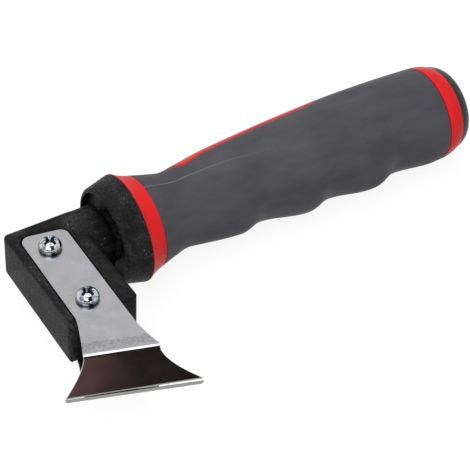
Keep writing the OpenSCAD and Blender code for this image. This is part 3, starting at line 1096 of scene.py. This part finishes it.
    def panel_tool(self) -> bpy.types.Object:
        """Makes the solid that cuts the panel's window, standing on the handle axis.

        Returns:
            The solid.
        """
        front, rear, lean = self.window()
        inset = self.panel_front - self.panel_corner
        side = 90 + math.degrees(lean)
        steps = self.corner_steps
        outline = (arc((rear, 0), self.panel_rear, -side, side, self.rear_steps)
                   + arc((front, inset), self.panel_corner, side, 180, steps)
                   + arc((front, -inset), self.panel_corner, 180, 360 - side, steps))
        bm = bmesh.new()
        face = bm.faces.new([bm.verts.new((x, 0, z)) for x, z in outline])
        grown = bmesh.ops.extrude_face_region(bm, geom=[face])["geom"]
        tops = [v for v in grown if isinstance(v, bmesh.types.BMVert)]
        bmesh.ops.translate(bm, verts=tops, vec=(0, 2 * self.swell, 0))
        return solid("panel_tool", bm)

    def build(self, finishes: Finishes) -> bpy.types.Object:
        """Makes the sleeve and stands it for its node.

        Args:
            finishes: The tool's finishes.

        Returns:
            The sleeve.
        """
        low, high = (self.x0 + share * self.length for share in self.core_turns)
        inner = [(self.x1, self.core_swell), (high, self.core_swell), (low, self.core),
                 (self.x0, self.core)]

        def place(x: float, r: float, angle: float) -> tuple[float, float, float]:
            """Puts a point on the sleeve, with its seam and parting line.

            Args:
                x: Place along the handle.
                r: Radius.
                angle: Even angle of the column from +Y.

            Returns:
                The point.
            """
            share = (x - self.x0) / self.length
            turn = self.column(angle, share)
            y, z = r * math.cos(turn), r * math.sin(turn)
            if r > self.skin_from:
                grown = (r - self.seam(x, y, z) + self.parting(angle, share)) / r
                y, z = y * grown, z * grown
            return x, y, z

        bm = bmesh.new()
        lathe(bm, self.skin_profile() + inner, self.angles(), closed=True, place=place)
        sleeve = solid("soft_grip", bm, finishes.rubber)
        places = [v.co.copy() for v in sleeve.data.vertices]
        carry(sleeve, "skin", [float(math.hypot(p.y, p.z) > self.skin_from) for p in places])
        # painted highlight: the share of the lighter colour along the parting line
        carry(sleeve, "ridge", [self.ridge_highlight_share(*p) for p in places])
        grow(sleeve, self.groove_tree(), finishes.rubber, Start=self.x0 + self.groove_first,
             Pitch=self.groove_pitch, Count=float(self.groove_count), Depth=self.groove_depth)
        cut(sleeve, self.panel_tool())
        smooth(sleeve, degrees=35)
        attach(sleeve, "handle")
        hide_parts("grip_sleeve")
        return sleeve


# --------------------------------------------------------------------------- head


@dataclass
class HeadShell:
    """Head moulding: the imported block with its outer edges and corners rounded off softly."""

    length: float = 24.2 * MM
    back: float = 9.1 * MM
    reach: float = 37.3 * MM
    half_back: float = 8.4 * MM
    half_front: float = 9.7 * MM
    round: float = 1.65 * MM
    steps: int = 7
    neck_half: float = 8.75 * MM
    neck_inside: float = 8.0 * MM
    clearance: float = 0.02 * MM
    far: float = 70.0 * MM

    def soft_block(self) -> bpy.types.Object:
        """Makes the tapered block with ball-shaped corners.

        Returns:
            The block.
        """
        bm = bmesh.new()
        bmesh.ops.create_cube(bm, size=2.0)
        for vert in bm.verts:
            front = vert.co.y < 0
            half = self.half_front if front else self.half_back
            vert.co = (0.0 if vert.co.x < 0 else self.length, -self.reach if front else self.back,
                       math.copysign(half, vert.co.z))
        bmesh.ops.bevel(bm, geom=bm.edges[:], offset=self.round, segments=self.steps, profile=0.5,
                        affect="EDGES", clamp_overlap=True)
        return solid("soft_block", bm)

    def bar(self, name: str, low: Sequence[float], high: Sequence[float]) -> bpy.types.Object:
        """Makes a plain bar between two corners.

        Args:
            name: Name of the bar.
            low: Its lowest corner.
            high: Its highest corner.

        Returns:
            The bar.
        """
        bm = bmesh.new()
        bmesh.ops.create_cube(bm, size=1.0)
        for vert in bm.verts:
            vert.co = [low[k] if vert.co[k] < 0 else high[k] for k in range(3)]
        return solid(name, bm)

    def build(self, block: bpy.types.Object, finishes: Finishes) -> bpy.types.Object:
        """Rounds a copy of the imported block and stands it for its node.

        Args:
            block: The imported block.
            finishes: The tool's finishes.

        Returns:
            The head.
        """
        wide, end, half = 2 * self.length, 2 * self.far, self.length / 2
        waste = self.bar("waste", (-wide, -2 * self.reach, -wide), (self.far, wide, wide))
        cut(
            waste,
            self.soft_block(),
            self.bar("neck_room", (self.length - self.neck_inside, -self.neck_half, -self.length),
                     (end, self.neck_half, self.length)),
            self.bar("flare_room", (self.length - self.clearance, -half, -self.length),
                     (end, half, self.length)),
        )
        bm = bmesh.new()
        bm.from_mesh(block.data)
        head = solid("head_moulding", bm, finishes.nylon)
        cut(head, waste)
        smooth(head, degrees=32)
        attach(head, "handle")
        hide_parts("head_block")
        return head


# --------------------------------------------------------------------------- blades and screws


@dataclass
class Seat:
    """Frame of a seat in its blade's outer face: X from the block's end, Y from the axis."""

    side: Side
    joints: Sequence[dict]
    first_screw: float = 4.1 * MM
    matrix: Matrix = field(init=False)
    spots: dict[Spot, Vector] = field(init=False)

    def __post_init__(self) -> None:
        """Reads the seat from the joints of its two screws."""
        places = {spot: self.joint(spot) for spot in Spot}
        upper = Vector(places[Spot.UPPER]["pos_m"])
        out = Vector(places[Spot.UPPER]["axis"]).normalized()
        up = Vector((0, out.z, -out.y)) * math.copysign(1, out.z)
        origin = upper + self.first_screw * up
        origin.x = 0.0
        turn = Matrix(((1, 0, 0), up, out)).transposed().to_4x4()
        self.matrix = Matrix.Translation(origin) @ turn
        inverse = self.matrix.inverted()
        self.spots = {spot: inverse @ Vector(joint["pos_m"]) for spot, joint in places.items()}

    def joint(self, spot: Spot) -> dict:
        """Finds the joint of one of the seat's screws."""
        name = f"{self.side.value}_{spot.value}_screw_turn"
        return next(j for j in self.joints if j["name"] == name)


@dataclass
class Blade:
    """Fishtail blade: a flat blank with two holes, ground at its edge and bent across its neck."""

    width: float = 15.4 * MM
    middle: float = 10.05 * MM
    lean: float = 1.6
    thickness: float = 1.0 * MM
    top: float = 3.4 * MM
    slant: float = 11.0
    corner: float = 3.0 * MM
    block_end: float = 37.3 * MM
    bend_reach: float = 17.1 * MM
    bend_offset: float = 1.8 * MM
    rake: float = RAKE
    bend_length: float = 23.4 * MM
    bend_angle: float = 49.96
    bend_radius: float = 1.2 * MM
    tail: float = 11.1 * MM
    edge: float = 42.6 * MM
    edge_shift: float = 2.5 * MM
    bevel: float = 0.45 * MM
    edge_thickness: float = 0.3 * MM
    rim: float = 0.12 * MM
    rim_turn: float = 1.0
    hole: float = 2.25 * MM
    hole_points: int = 48
    left_start: float = 0.8 * MM
    left_power: float = 1.15
    right_start: float = -7.9 * MM
    right_power: float = 2.0
    tail_left_power: float = 1.4
    tail_right_power: float = 1.55
    flare_steps: int = 28
    corner_steps: int = 14
    bend_steps: int = 14
    band_row: float = -5.0 * MM

    @property
    def bend_flat(self) -> float:
        """Length of the bend in the flat blank."""
        return math.radians(self.bend_angle) * (self.bend_radius + self.thickness / 2)

    @property
    def ground(self) -> float:
        """Place outwards from the bend line at which the ground edge starts."""
        return self.bend_flat + self.tail - self.bevel

    @property
    def lean_of_bend(self) -> Point2:
        """Cosine and sine of the bend line's lean."""
        return math.cos(math.radians(self.rake)), math.sin(math.radians(self.rake))

    @property
    def bend_middle(self) -> Point2:
        """Place of the bend line's middle in the seat."""
        return self.middle - self.bend_offset, -self.block_end - self.bend_reach

    def to_bend(self, x: float, y: float) -> Point2:
        """Turns a place in the seat into (along the bend line, outwards from it).

        Args:
            x: Place from the block's end.
            y: Place from the axis.

        Returns:
            The place in the frame of the bend line.
        """
        (c, s), (bend_x, bend_y) = self.lean_of_bend, self.bend_middle
        dx, dy = x - bend_x, y - bend_y
        return dx * c - dy * s, -(dx * s + dy * c)

    def flare(self, start: Point2, end: Point2, power: float) -> list[Point2]:
        """Gives a side of the blank that swings out.

        Args:
            start: Where it starts, heading along the second axis.
            end: Where it ends.
            power: How late it swings out.

        Returns:
            Its points, both ends included.
        """
        shares = [i / self.flare_steps for i in range(self.flare_steps + 1)]
        return [(start[0] + (end[0] - start[0]) * t**power, start[1] + (end[1] - start[1]) * t)
                for t in shares]

    def strip(self) -> list[Point2]:
        """Gives the strip's outline in the seat, from the bend's left end round to its right.

        Returns:
            The points, in the frame of the seat.
        """
        half, k = self.width / 2, math.tan(math.radians(self.slant))
        (c, s), (bend_x, bend_y) = self.lean_of_bend, self.bend_middle
        tip = self.bend_length / 2
        left_end = (bend_x - tip * c, bend_y + tip * s)
        right_end = (bend_x + tip * c, bend_y - tip * s)
        left = (self.middle - half, self.left_start - self.block_end)
        right = (self.middle + half, self.right_start - self.block_end)
        far = self.middle + (self.block_end + self.top) * math.tan(math.radians(self.lean))
        rise = self.corner / math.cos(math.radians(self.slant)) - k * self.corner
        left_corner = (far - half + self.corner, self.top + k * half - rise - 2 * k * self.corner)
        right_corner = (far + half - self.corner, self.top - k * half - rise)
        shoulder, steps = 90 - self.slant, self.corner_steps
        return (self.flare(left, left_end, self.left_power)[::-1]
                + arc(left_corner, self.corner, 180 - self.lean, shoulder, steps)
                + arc(right_corner, self.corner, shoulder, -self.lean, steps)
                + self.flare(right, right_end, self.right_power))

    def outline(self) -> list[Point2]:
        """Gives the blank's outline in the frame of the bend line.

        Returns:
            The points of the closed outline.
        """
        tip, flat, end = self.bend_length / 2, self.bend_flat, self.bend_flat + self.tail
        left, right = self.edge_shift - self.edge / 2, self.edge_shift + self.edge / 2
        tail = self.flare((tip, flat), (right, end), self.tail_right_power)
        tail += self.flare((-tip, flat), (left, end), self.tail_left_power)[::-1]
        return [self.to_bend(*p) for p in self.strip()] + tail

    def blank(self, seat: Seat) -> bmesh.types.BMesh:
        """Punches the flat blank, with slightly broken rims and two holes.

        Args:
            seat: The seat, which says where the screws are.

        Returns:
            The blank's mesh, its inner face at height zero.
        """
        curve = bpy.data.curves.new("blank", "CURVE")
        curve.dimensions = "2D"
        curve.fill_mode = "BOTH"
        curve.extrude = self.thickness / 2
        last = 360 - 360 / self.hole_points
        holes = [arc(self.to_bend(spot.x, spot.y), self.hole, 0, last, self.hole_points - 1)
                 for spot in seat.spots.values()]
        for loop in [self.outline()] + holes:
            spline = curve.splines.new("POLY")
            spline.points.add(len(loop) - 1)
            for point, (u, v) in zip(spline.points, loop):
                point.co = (u, v, 0, 1)
            spline.use_cyclic_u = True
        thing = show(bpy.data.objects.new("blank", curve))
        bm = bmesh.new()
        bm.from_mesh(evaluated(thing))
        bpy.data.objects.remove(thing)
        bmesh.ops.remove_doubles(bm, verts=bm.verts, dist=NEAR)
        bmesh.ops.recalc_face_normals(bm, faces=bm.faces)
        bmesh.ops.translate(bm, verts=bm.verts, vec=(0, 0, self.thickness / 2))
        bmesh.ops.dissolve_limit(bm, angle_limit=0.01, verts=[], edges=bm.edges)
        rims = [e for e in bm.edges
                if len(e.link_faces) == 2 and e.calc_face_angle() > self.rim_turn
                and abs(e.verts[0].co.z - e.verts[1].co.z) < NEAR]
        bmesh.ops.bevel(bm, geom=rims, offset=self.rim, segments=1, affect="EDGES",
                        clamp_overlap=True)
        rows = [self.bend_flat * i / self.bend_steps for i in range(self.bend_steps + 1)]
        for v in rows + [self.band_row, self.ground]:
            bmesh.ops.bisect_plane(bm, geom=[*bm.verts, *bm.edges, *bm.faces], dist=1e-8,
                                   plane_co=(0, v, 0), plane_no=(0, 1, 0))
        return bm

    def bent(self, u: float, v: float, w: float) -> Vector:
        """Gives a place of the flat blank after grinding and bending, in the seat's frame.

        Args:
            u: Place along the bend line.
            v: Place outwards from it.
            w: Height above the blank's inner face.

        Returns:
            The place in the seat.
        """
        if v > self.ground:
            slope = (self.thickness - self.edge_thickness) / self.bevel
            w = min(w, self.thickness - slope * (v - self.ground))
        turn = math.radians(self.bend_angle) * min(max(v / self.bend_flat, 0), 1)
        radius = self.bend_radius + w
        past = max(v - self.bend_flat, 0)
        out = min(v, 0) + radius * math.sin(turn) + past * math.cos(turn)
        height = radius * math.cos(turn) - past * math.sin(turn)
        (c, s), (bend_x, bend_y) = self.lean_of_bend, self.bend_middle
        return Vector((bend_x + u * c - out * s, bend_y - u * s - out * c,
                       height - self.bend_radius - self.thickness))

    def build(self, side: Side, seat: Seat, finishes: Finishes) -> bpy.types.Object:
        """Makes one blade and stands it for its node.

        Args:
            side: Which blade it is.
            seat: Its seat.
            finishes: The tool's finishes.

        Returns:
            The blade.
        """
        bm = self.blank(seat)
        bmesh.ops.recalc_face_normals(bm, faces=bm.faces)
        for face in bm.faces:
            low = min(v.co.y for v in face.verts)
            if low > self.ground - NEAR and max(face.normal.z, face.normal.y) > 0.5:
                face.material_index = 1
        layer = bm.verts.layers.float.new("from_bend")
        for vert in bm.verts:
            vert[layer] = vert.co.y / MM
            vert.co = seat.matrix @ self.bent(*vert.co)
        blade = solid(f"{side.value}_blade_sheet", bm, finishes.blade, finishes.ground)
        smooth(blade, degrees=14)
        name = f"{side.value}_blade"
        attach(blade, name)
        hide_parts(name)
        return blade


@dataclass
class PanScrew:
    """Pan-head machine screw with a cross recess and a rolled thread."""

    head: float = 3.85 * MM
    height: float = 3.5 * MM
    rim: float = 0.65 * MM
    shank: float = 2.0 * MM
    length: float = 6.0 * MM
    edge: float = 0.12 * MM
    tip: float = 0.35 * MM
    neck: Range = (0.5 * MM, 0.2 * MM)
    crown_power: float = 0.8
    crown_steps: int = 18
    columns: int = 48
    thread: float = 0.7 * MM
    thread_depth: float = 0.38 * MM
    thread_drop: float = 0.4 * MM
    thread_free: float = 1.4 * MM
    thread_steps: int = 24
    wing: float = 1.2 * MM
    wing_taper: float = 0.62
    heart: float = 2.3
    heart_taper: float = 0.6
    mark: float = 0.86
    mark_width: float = 0.2 * MM
    mark_depth: float = 0.55 * MM
    mark_taper: float = 0.9
    recess: float = 5.3 * MM
    recess_depth: float = 2.3 * MM
    turn: float = 20.0

    def head_profile(self) -> list[Point2]:
        """Gives the outer line from the shank's tip to the crown.

        Returns:
            Points (radius, height).
        """
        core = self.shank - self.thread_depth
        under = [(0.0, -self.length), (core - self.tip, -self.length),
                 (core, -self.length + self.tip), (core, -self.neck[0]),
                 (self.shank, -self.neck[1]), (self.shank, 0.0), (self.head - self.edge, 0.0),
                 (self.head, self.edge), (self.head, self.rim)]
        turns = [i / self.crown_steps * math.pi / 2 for i in range(1, self.crown_steps)]
        crown = [(self.head * math.cos(t) ** self.crown_power,
                  self.rim + (self.height - self.rim) * math.sin(t)) for t in turns]
        return under + crown + [(0.0, self.height)]

    def recess_tools(self) -> list[bpy.types.Object]:
        """Makes the solids that cut the cross recess and its four marks.

        Returns:
            The solids.
        """
        wing = (self.recess, self.wing, self.recess_depth)
        heart = (self.heart * self.wing, self.heart * self.wing, self.recess_depth)
        mark = (self.mark * self.recess, self.mark_width, self.mark_depth)
        return [
            self.wedge("wing_0", wing, 0, self.wing_taper),
            self.wedge("wing_1", wing, 90, self.wing_taper),
            self.wedge("heart", heart, 45, self.heart_taper),
            self.wedge("mark_0", mark, 45, self.mark_taper),
            self.wedge("mark_1", mark, 135, self.mark_taper),
        ]

    def wedge(self, name: str, size: tuple[float, float, float], turn: float,
              share: float) -> bpy.types.Object:
        """Makes a tapered bar that reaches down from above the head.

        Args:
            name: Name of the tool.
            size: Length and width of the bar at the head's top, and how deep it goes down.
            turn: Turn about the screw's axis, in degrees.
            share: Size at the bottom as a share of that at the top.

        Returns:
            The tool.
        """
        bm = bmesh.new()
        bmesh.ops.create_cube(bm, size=1.0)
        (length, width, depth), above = size, 1 * MM
        for vert in bm.verts:
            low = vert.co.z < 0
            scale = share if low else 1 + (1 - share) * above / depth
            vert.co = (vert.co.x * length * scale, vert.co.y * width * scale,
                       self.height - depth if low else self.height + above)
        bmesh.ops.rotate(bm, verts=bm.verts, matrix=Matrix.Rotation(math.radians(turn), 3, "Z"))
        return solid(name, bm)

    def thread_tree(self) -> bpy.types.NodeTree:
        """Draws the tree that winds the thread round the shank.

        Returns:
            The tree.
        """
        s = NodeSheet("rolled_thread", Radius=self.shank, Pitch=self.thread, Length=self.length,
                      Depth=self.thread_depth)
        turns = s.math("DIVIDE", s.source["Length"], s.source["Pitch"])
        spiral = s.add("GeometryNodeCurveSpiral", Resolution=self.thread_steps, Rotations=turns,
                       Start_Radius=s.source["Radius"], End_Radius=s.source["Radius"],
                       Height=s.product(s.source["Length"], -1.0))
        ridge = s.add("GeometryNodeCurvePrimitiveCircle", {"mode": "RADIUS"}, Resolution=3,
                      Radius=s.source["Depth"])
        wound = s.add("GeometryNodeCurveToMesh", Curve=spiral.outputs[0],
                      Profile_Curve=ridge.outputs[0], Fill_Caps=True)
        lowered = s.add("GeometryNodeTransform", Geometry=wound.outputs[0],
                        Translation=(0, 0, -self.thread_drop))
        both = s.add("GeometryNodeJoinGeometry")
        s.put(both.inputs[0], lowered.outputs[0])
        s.put(both.inputs[0], s.source["Geometry"])
        return s.close(both.outputs[0])

    def master(self, finishes: Finishes) -> bpy.types.Object:
        """Makes one screw at the origin, standing along Z.

        Args:
            finishes: The tool's finishes.

        Returns:
            The screw.
        """
        bm = bmesh.new()
        profile = [(z, r) for r, z in self.head_profile()]
        lathe(bm, profile, round_turn(self.columns), closed=False,
              place=lambda z, r, a: (r * math.cos(a), r * math.sin(a), z))
        screw = solid("screw_master", bm, finishes.screw)
        cut(screw, *self.recess_tools())
        smooth(screw, degrees=32)
        return grow(screw, self.thread_tree(), finishes.screw,
                    Radius=self.shank - self.thread_depth, Pitch=self.thread,
                    Length=self.length - self.thread_free, Depth=self.thread_depth)

    def place(self, master: bpy.types.Object, seat: Seat, spot: Spot) -> bpy.types.Object:
        """Sets one screw in a seat and stands it for its node.

        Args:
            master: The screw at the origin.
            seat: The blade's seat.
            spot: Which of its two places.

        Returns:
            The screw.
        """
        name = f"{seat.side.value}_{spot.value}_screw"
        screw = show(bpy.data.objects.new(name + "_pan_head", master.data.copy()))
        carry(screw, "above_seat", [v.co.z / MM for v in screw.data.vertices])
        turn = Matrix.Rotation(math.radians(self.turn), 4, "Z")
        move = seat.matrix @ Matrix.Translation(seat.spots[spot]) @ turn
        screw.data.transform(move)
        if move.determinant() < 0:
            screw.data.flip_normals()
        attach(screw, name)
        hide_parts(name)
        return screw


# --------------------------------------------------------------------------- studio


@dataclass
class Studio:
    """Pale floor, soft lamps, two dark cards that the bent steel reflects, and the camera."""

    target: Vector = field(default_factory=lambda: Vector((71.33, -17.63, -2.94)) * MM)
    distance: float = 0.6431
    azimuth: float = -33.37
    elevation: float = 43.47
    roll: float = 2.79
    lens: float = 149.65
    sensor: float = 36.0
    clip: Range = (0.02, 20.0)
    floor_size: float = 7.0
    floor_colour: float = 0.4
    floor_seen: float = 0.16
    floor_glow: float = 0.88
    world_light: float = 0.42
    card_aim: Sequence[float] = (0.01, -0.062, 0.005)
    card_turn: float = 3.5
    card_cloud: float = 0.05
    card_warmth: Range = (0.72, 0.92)

    def white(self, s: Shader) -> bpy.types.NodeSocket:
        """Gives 1 for the rays that see the floor, and 0 for those that only light the object.

        Args:
            s: The material in which it is used.

        Returns:
            Socket with the value.
        """
        path = s.add("LightPath").outputs
        return s.math("MAXIMUM", s.math("MAXIMUM", path["Is Camera Ray"], path["Is Glossy Ray"]),
                      path["Is Transmission Ray"])

    def floor(self, height: float) -> bpy.types.Object:
        """Makes the floor.

        Args:
            height: Where it lies.

        Returns:
            The floor.
        """
        bpy.ops.mesh.primitive_plane_add(size=self.floor_size, location=(0, 0, height))
        plane = bpy.context.object
        plane.name = "floor"
        s = Shader("pale_floor")
        matt = s.add("BsdfDiffuse", Color=(self.floor_colour,) * 3 + (1,))
        pale = s.add("BsdfDiffuse", Color=(self.floor_seen,) * 3 + (1,))
        glow = s.add("Emission", Color=(1, 1, 1, 1), Strength=self.floor_glow)
        lit = s.fill("ShaderNodeAddShader", pale.outputs[0], glow.outputs[0])
        s.close(s.fill("ShaderNodeMixShader", self.white(s), matt.outputs[0], lit.outputs[0]))
        plane.data.materials.append(s.material)
        plane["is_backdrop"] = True
        return plane

    def card(self, name: str, away: Sequence[float], size: Sequence[float], distance: float,
             dark: Colour, warm: Colour) -> bpy.types.Object:
        """Stands a dark card that only the steel and the screws reflect.

        Args:
            name: Name of the card.
            away: Direction from the blade's edge to the card.
            size: Width and height.
            distance: Distance from the blade's edge.
            dark: Colour of most of it.
            warm: Colour of its cloudy part.

        Returns:
            The card.
        """
        toward = Vector(away).normalized()
        place = Vector(self.card_aim) + distance * toward
        bpy.ops.mesh.primitive_plane_add(size=1.0, location=place)
        plane = bpy.context.object
        plane.name = name
        plane.scale = (*size, 1)
        plane.rotation_mode = "QUATERNION"
        plane.rotation_quaternion = (-toward).to_track_quat("Z", "Y")
        plane.visible_diffuse = False
        plane.visible_shadow = False
        s = Shader(name)
        points = s.object_points()
        cloud = s.noise(points, self.card_cloud, detail=4, rough=0.6)
        across = s.add("SeparateXYZ", Vector=points).outputs[0]
        share = s.spread(s.math("ADD", s.product(across, self.card_turn), cloud),
                         *self.card_warmth)
        s.surface(Base_Color=s.mix(share, dark, warm), Roughness=1.0, Specular_IOR_Level=0.0)
        plane.data.materials.append(s.material)
        plane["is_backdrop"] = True
        return plane

    def lamp(self, name: str, place: Sequence[float], size: float, power: float) -> None:
        """Hangs a square soft lamp that faces the object.

        Args:
            name: Its name.
            place: Where it hangs.
            size: Length of its sides.
            power: Its power in watts.
        """
        data = bpy.data.lights.new(name, "AREA")
        data.shape = "SQUARE"
        data.size = size
        data.energy = power
        lamp = show(bpy.data.objects.new(name, data))
        lamp.location = place
        lamp.rotation_euler = (Vector(place) - self.target).to_track_quat("Z", "Y").to_euler()

    def world(self) -> None:
        """Makes the surrounding light, which shows as white."""
        world = bpy.data.worlds.new("studio")
        world.use_nodes = True
        s = Drawing(world.node_tree, "ShaderNode")
        path = s.add("LightPath").outputs
        seen = s.math("ADD", path["Is Camera Ray"], path["Is Glossy Ray"])
        unshaded_share = world.node_tree.nodes["Background"].inputs
        s.put(unshaded_share["Strength"], s.spread(seen, 0.0, 1.0, self.world_light, 1.0))
        s.put(unshaded_share["Color"], (1, 1, 1, 1))
        bpy.context.scene.world = world

    def camera(self) -> None:
        """Sets up the three-quarter camera."""
        a, e = math.radians(self.azimuth), math.radians(self.elevation)
        back = Vector((math.sin(a) * math.cos(e), -math.cos(a) * math.cos(e), math.sin(e)))
        right = Vector((math.cos(a), math.sin(a), 0))
        right.rotate(Matrix.Rotation(math.radians(self.roll), 3, back))
        turn = Matrix((right, back.cross(right), back)).transposed().to_4x4()
        data = bpy.data.cameras.new("camera")
        data.lens = self.lens
        data.sensor_width = self.sensor
        data.clip_start, data.clip_end = self.clip
        camera = show(bpy.data.objects.new("camera", data))
        camera.matrix_world = Matrix.Translation(self.target + self.distance * back) @ turn
        bpy.context.scene.camera = camera

    def build(self, floor_height: float) -> None:
        """Sets up the whole studio.

        Args:
            floor_height: Where the floor lies.
        """
        self.camera()
        self.world()
        self.floor(floor_height)
        self.card("front_card", away=(-0.07, -0.66, 0.75), size=(0.85, 1.25), distance=1.1,
                  dark=(0.06, 0.052, 0.042), warm=(0.36, 0.20, 0.18))
        self.card("camera_card", away=(-0.50, -0.66, 0.50), size=(1.5, 1.15), distance=1.5,
                  dark=(0.03, 0.03, 0.035), warm=(0.05, 0.045, 0.06))
        self.lamp("overhead", place=(0.02, 0.05, 1.28), size=1.0, power=6.0)
        self.lamp("key", place=(-0.50, -0.56, 0.80), size=0.8, power=7.5)
        bpy.context.scene.view_settings.view_transform = "Standard"


def tell(piece: bpy.types.Object) -> None:
    """Reports a finished piece."""
    log.info("%s: %d faces", piece.name, len(piece.data.polygons))


def main() -> None:
    """Builds every piece around the frame."""
    logging.basicConfig(level=logging.INFO, format="%(name)s: %(message)s")
    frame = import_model()
    cad_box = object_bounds()
    Studio().build(cad_box[0].z)
    finishes = Finishes()
    finishes.dress(frame["nodes"])
    tell(HeadShell().build(frame["nodes"]["head_block"], finishes))
    tell(SoftGrip().build(finishes))
    screw = PanScrew()
    master = screw.master(finishes)
    for side in Side:
        seat = Seat(side, frame["joints"])
        tell(Blade().build(side, seat, finishes))
        for spot in Spot:
            tell(screw.place(master, seat, spot))
    bpy.data.objects.remove(master)


if __name__ == "__main__":
    main()
